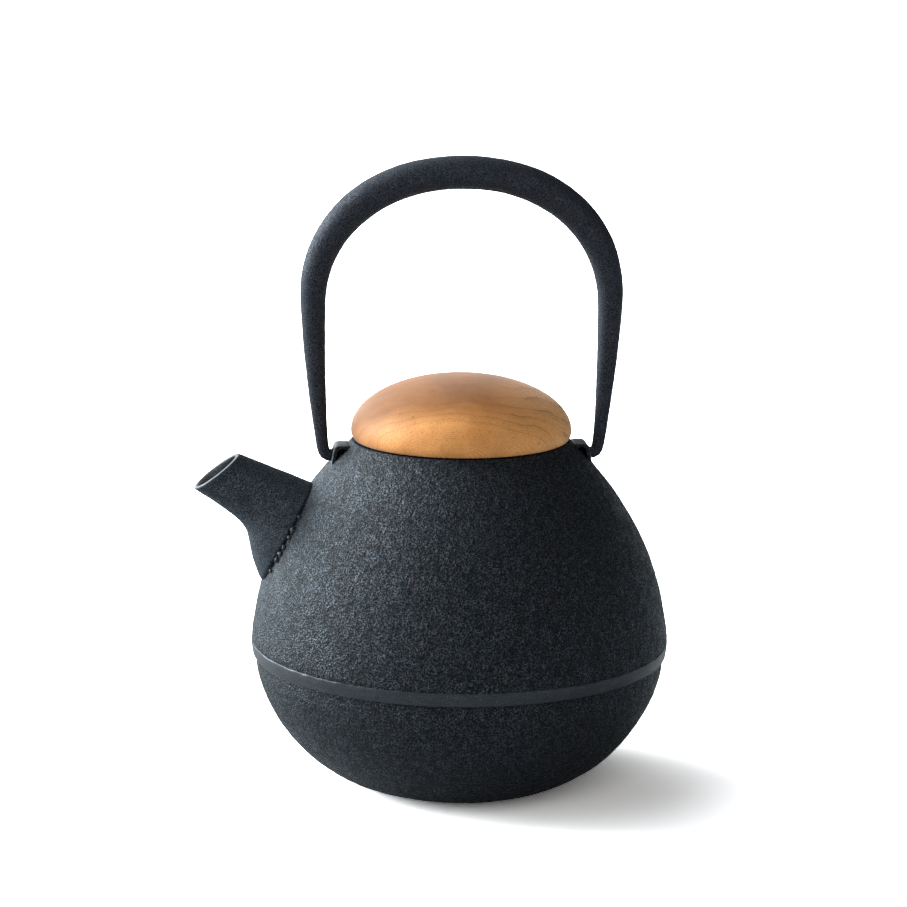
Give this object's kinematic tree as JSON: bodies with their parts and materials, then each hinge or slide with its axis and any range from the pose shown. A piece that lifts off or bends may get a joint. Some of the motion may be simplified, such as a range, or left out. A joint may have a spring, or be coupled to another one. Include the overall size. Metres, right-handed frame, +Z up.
{
  "type": "teapot",
  "caption": "Round cast-iron teapot with a belt rib, short side spout, domed wooden lid, swinging bail handle over the top and a lift-out tea basket.",
  "frame": {"origin": "centre of the flat base, on the surface that the teapot stands on", "axes": "+Z up, spout towards -X, bail pivot axis along X"},
  "size_m": [0.1633, 0.144, 0.2159],
  "materials": {
    "pot_iron": "rough sand-cast, blue-black enamel",
    "spout_iron": "fine sand-cast, blue-black enamel",
    "bail_iron": "fine-grained matt black",
    "lid_wood": "turned cherry, oiled satin",
    "steel": "brushed stainless",
    "steel_mesh": "fine woven stainless mesh"
  },
  "bodies": {
    "pot": {"pot_body": "pot_iron", "spout": "spout_iron", "ear_spout_side": "pot_iron", "ear_back_side": "pot_iron"},
    "bail": {"bail_handle": "bail_iron"},
    "basket": {"basket_rim": "steel", "basket_wall": "steel_mesh", "basket_base": "steel"},
    "lid": {"lid_dome": "lid_wood", "lid_liner": "steel", "lid_screw_1": "steel", "lid_screw_2": "steel", "lid_screw_3": "steel"}
  },
  "joints": [
    {"name": "bail_hinge", "type": "hinge", "parent": "pot", "child": "bail", "pos_m": [0, 0, 0.1142], "axis": [1, 0, 0], "range_deg": [-110, 110]},
    {"name": "basket_lift", "type": "slide", "parent": "pot", "child": "basket", "axis": [0, 0, 1], "range_m": [0, 0.06]},
    {"name": "lid_lift", "type": "slide", "parent": "basket", "child": "lid", "axis": [0, 0, 1], "range_m": [0, 0.06]}
  ]
}
